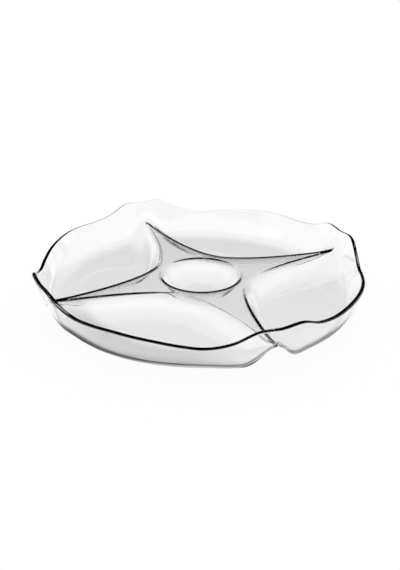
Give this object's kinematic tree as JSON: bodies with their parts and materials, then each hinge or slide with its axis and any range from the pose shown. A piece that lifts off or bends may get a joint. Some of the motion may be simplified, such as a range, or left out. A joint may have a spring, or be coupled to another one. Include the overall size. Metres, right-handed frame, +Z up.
{
  "type": "relish tray",
  "caption": "Round relish tray of clear moulded glass: deep pockets round a round well, parted by a raised star with thin arms, inside a wavy upright wall.",
  "frame": {"origin": "under the middle of the well, on the plane that the tray stands on", "axes": "+Z up; the pockets are centred on the X and Y axes and the dividers lie on the diagonals"},
  "size_m": [0.322, 0.322, 0.0438],
  "materials": {
    "clear_glass": "polished, clear"
  },
  "bodies": {
    "root": {"tray": "clear_glass"}
  },
  "joints": []
}
